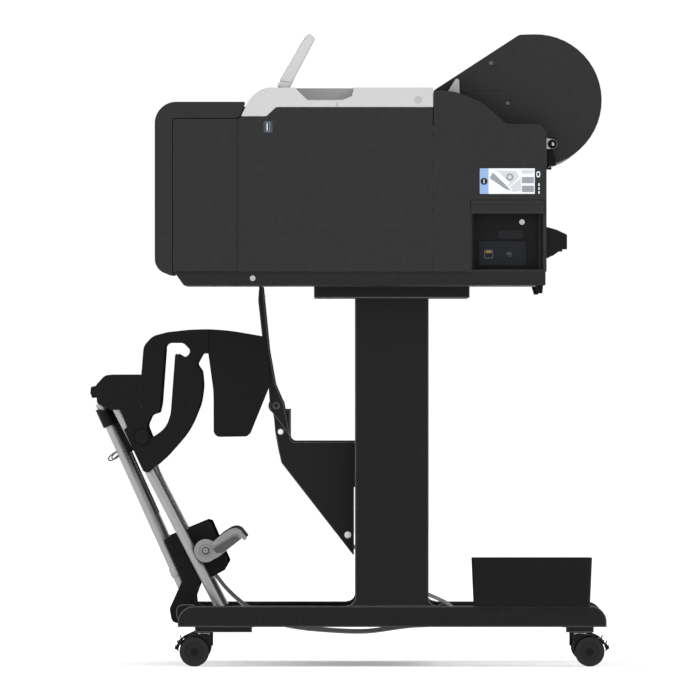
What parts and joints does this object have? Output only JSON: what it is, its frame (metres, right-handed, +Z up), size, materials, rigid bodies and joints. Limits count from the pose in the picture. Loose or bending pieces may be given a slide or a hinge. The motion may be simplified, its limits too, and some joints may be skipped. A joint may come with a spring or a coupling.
{
  "type": "large format plotter",
  "caption": "Floor-standing large format roll printer on a castered stand, with tilting control panel, roll cover, hinged lid and folding cloth stacker.",
  "frame": {"origin": "on the floor, under the centre of the whole machine with the stacker open", "axes": "+Z up, -Y the front where the prints come out, +X the machine's right-hand side, along its width"},
  "size_m": [1.2906, 0.8699, 1.0582],
  "materials": {
    "housing_black": "fine textured",
    "frame_black": "powder coated",
    "stacker_black": "satin moulded",
    "cap_grey": "satin",
    "panel_grey": "satin",
    "lever_grey": "satin",
    "tube_aluminium": "brushed anodised",
    "zinc_steel": "zinc plated",
    "caster_rubber": "matt",
    "roller_rubber": "ground",
    "smoked_window": "clear gloss",
    "screen_glass": "gloss",
    "basket_cloth": "woven",
    "media_paper": "matt",
    "ink_plastic": "gloss",
    "port_plate": "satin"
  },
  "bodies": {
    "printer_and_stand": {"feet": "frame_black", "columns": "frame_black", "stand_frame": "frame_black", "guide_brackets": "frame_black", "guide_arms": "frame_black", "accessory_bin": "stacker_black", "stand_fasteners": "frame_black", "base_chassis": "housing_black", "side_frames": "zinc_steel", "side_cover_left": "housing_black", "side_cover_right": "housing_black", "rear_side_covers": "housing_black", "ink_bays": "housing_black", "top_cap_right": "cap_grey", "top_cap_left": "cap_grey", "front_cover": "housing_black", "rear_cover": "housing_black", "roll_cradle": "housing_black", "platen": "housing_black", "carriage_rail": "zinc_steel", "carriage_drive": "roller_rubber", "ink_tanks": "ink_plastic", "maintenance_cartridge": "ink_plastic", "rear_handles": "stacker_black", "connector_panels": "port_plate", "housing_screws": "zinc_steel", "cloth_fixed": "basket_cloth"},
    "panel": {"operation_panel": "panel_grey", "panel_screen": "screen_glass"},
    "power_key": {"power_button": "panel_grey"},
    "lid": {"top_cover": "cap_grey", "top_cover_window": "smoked_window"},
    "roll_hood": {"roll_cover": "housing_black"},
    "ink_door_r": {"ink_door_right": "housing_black"},
    "ink_door_l": {"ink_door_left": "housing_black"},
    "media_lever": {"release_lever": "lever_grey"},
    "feed": {"feed_roller": "roller_rubber"},
    "pinch": {"pinch_rollers": "roller_rubber"},
    "print_carriage": {"carriage": "ink_plastic"},
    "roll": {"roll_spindle": "stacker_black", "paper_roll": "media_paper"},
    "stacker": {"stacker_tubes": "tube_aluminium", "stacker_brackets": "stacker_black", "stacker_heads": "stacker_black", "stacker_arms": "stacker_black", "cloth_stacker": "basket_cloth"},
    "lock_r": {"lock_lever_right": "lever_grey"},
    "lock_l": {"lock_lever_left": "lever_grey"},
    "caster_front_right": {"caster_housing_front_right": "stacker_black"},
    "wheels_front_right": {"caster_wheels_front_right": "caster_rubber"},
    "brake_front_right": {"caster_brake_front_right": "stacker_black"},
    "caster_front_left": {"caster_housing_front_left": "stacker_black"},
    "wheels_front_left": {"caster_wheels_front_left": "caster_rubber"},
    "brake_front_left": {"caster_brake_front_left": "stacker_black"},
    "caster_rear_right": {"caster_housing_rear_right": "stacker_black"},
    "wheels_rear_right": {"caster_wheels_rear_right": "caster_rubber"},
    "brake_rear_right": {"caster_brake_rear_right": "stacker_black"},
    "caster_rear_left": {"caster_housing_rear_left": "stacker_black"},
    "wheels_rear_left": {"caster_wheels_rear_left": "caster_rubber"},
    "brake_rear_left": {"caster_brake_rear_left": "stacker_black"}
  },
  "joints": [
    {"name": "panel_tilt", "type": "hinge", "parent": "printer_and_stand", "child": "panel", "pos_m": [0.557, -0.116, 0.9615], "axis": [-1, 0, 0], "range_deg": [0, 61]},
    {"name": "power_press", "type": "slide", "parent": "panel", "child": "power_key", "axis": [0, 0.8631, -0.505], "range_m": [0, 0.001], "stiffness_N_per_m": 300, "springref_m": -0.002},
    {"name": "lid_hinge", "type": "hinge", "parent": "printer_and_stand", "child": "lid", "pos_m": [0, 0.1147, 0.9477], "axis": [-1, 0, 0], "range_deg": [0, 75]},
    {"name": "roll_hood_hinge", "type": "hinge", "parent": "printer_and_stand", "child": "roll_hood", "pos_m": [0, 0.3392, 0.8742], "axis": [-1, 0, 0], "range_deg": [0, 65]},
    {"name": "ink_door_r_hinge", "type": "hinge", "parent": "printer_and_stand", "child": "ink_door_r", "pos_m": [0.555, -0.2992, 0.6595], "axis": [1, 0, 0], "range_deg": [0, 85]},
    {"name": "ink_door_l_hinge", "type": "hinge", "parent": "printer_and_stand", "child": "ink_door_l", "pos_m": [-0.555, -0.2992, 0.6595], "axis": [1, 0, 0], "range_deg": [0, 85]},
    {"name": "media_lever_turn", "type": "hinge", "parent": "printer_and_stand", "child": "media_lever", "pos_m": [0.618, 0.171, 0.935], "axis": [1, 0, 0], "range_deg": [0, 22]},
    {"name": "carriage_travel", "type": "slide", "parent": "printer_and_stand", "child": "print_carriage", "axis": [1, 0, 0], "range_m": [-1.04, 0]},
    {"name": "feed_spin", "type": "hinge", "parent": "printer_and_stand", "child": "feed", "pos_m": [0, 0.075, 0.872], "axis": [1, 0, 0], "continuous": true},
    {"name": "pinch_spin", "type": "hinge", "parent": "printer_and_stand", "child": "pinch", "pos_m": [0, 0.075, 0.8943], "axis": [1, 0, 0], "continuous": true},
    {"name": "roll_spin", "type": "hinge", "parent": "printer_and_stand", "child": "roll", "pos_m": [0, 0.3112, 0.9475], "axis": [1, 0, 0], "continuous": true},
    {"name": "stacker_fold", "type": "hinge", "parent": "printer_and_stand", "child": "stacker", "pos_m": [0, -0.2794, 0.0921], "axis": [-1, 0, 0], "range_deg": [0, 20]},
    {"name": "lock_r_turn", "type": "hinge", "parent": "stacker", "child": "lock_r", "pos_m": [0.45, -0.241, 0.1935], "axis": [1, 0, 0], "range_deg": [0, 50]},
    {"name": "lock_l_turn", "type": "hinge", "parent": "stacker", "child": "lock_l", "pos_m": [-0.45, -0.241, 0.1935], "axis": [1, 0, 0], "range_deg": [0, 50]},
    {"name": "swivel_front_right", "type": "hinge", "parent": "printer_and_stand", "child": "caster_front_right", "pos_m": [0.5, -0.2437, 0.05], "axis": [0, 0, 1], "continuous": true},
    {"name": "roll_front_right", "type": "hinge", "parent": "caster_front_right", "child": "wheels_front_right", "pos_m": [0.5, -0.2599, 0.025], "axis": [1, 0, 0], "continuous": true},
    {"name": "brake_front_right_press", "type": "hinge", "parent": "caster_front_right", "child": "brake_front_right", "pos_m": [0.5, -0.2904, 0.031], "axis": [1, 0, 0], "range_deg": [0, 8]},
    {"name": "swivel_front_left", "type": "hinge", "parent": "printer_and_stand", "child": "caster_front_left", "pos_m": [-0.5, -0.2437, 0.05], "axis": [0, 0, 1], "continuous": true},
    {"name": "roll_front_left", "type": "hinge", "parent": "caster_front_left", "child": "wheels_front_left", "pos_m": [-0.5, -0.2599, 0.025], "axis": [1, 0, 0], "continuous": true},
    {"name": "brake_front_left_press", "type": "hinge", "parent": "caster_front_left", "child": "brake_front_left", "pos_m": [-0.5, -0.2904, 0.031], "axis": [1, 0, 0], "range_deg": [0, 8]},
    {"name": "swivel_rear_right", "type": "hinge", "parent": "printer_and_stand", "child": "caster_rear_right", "pos_m": [0.5, 0.386, 0.05], "axis": [0, 0, 1], "continuous": true},
    {"name": "roll_rear_right", "type": "hinge", "parent": "caster_rear_right", "child": "wheels_rear_right", "pos_m": [0.5, 0.4022, 0.025], "axis": [1, 0, 0], "continuous": true},
    {"name": "brake_rear_right_press", "type": "hinge", "parent": "caster_rear_right", "child": "brake_rear_right", "pos_m": [0.5, 0.4327, 0.031], "axis": [-1, 0, 0], "range_deg": [0, 8]},
    {"name": "swivel_rear_left", "type": "hinge", "parent": "printer_and_stand", "child": "caster_rear_left", "pos_m": [-0.5, 0.386, 0.05], "axis": [0, 0, 1], "continuous": true},
    {"name": "roll_rear_left", "type": "hinge", "parent": "caster_rear_left", "child": "wheels_rear_left", "pos_m": [-0.5, 0.4022, 0.025], "axis": [1, 0, 0], "continuous": true},
    {"name": "brake_rear_left_press", "type": "hinge", "parent": "caster_rear_left", "child": "brake_rear_left", "pos_m": [-0.5, 0.4327, 0.031], "axis": [-1, 0, 0], "range_deg": [0, 8]}
  ],
  "couplings": [
    {"joint": "pinch_spin", "follows": "feed_spin", "ratio": -2.1429}
  ]
}
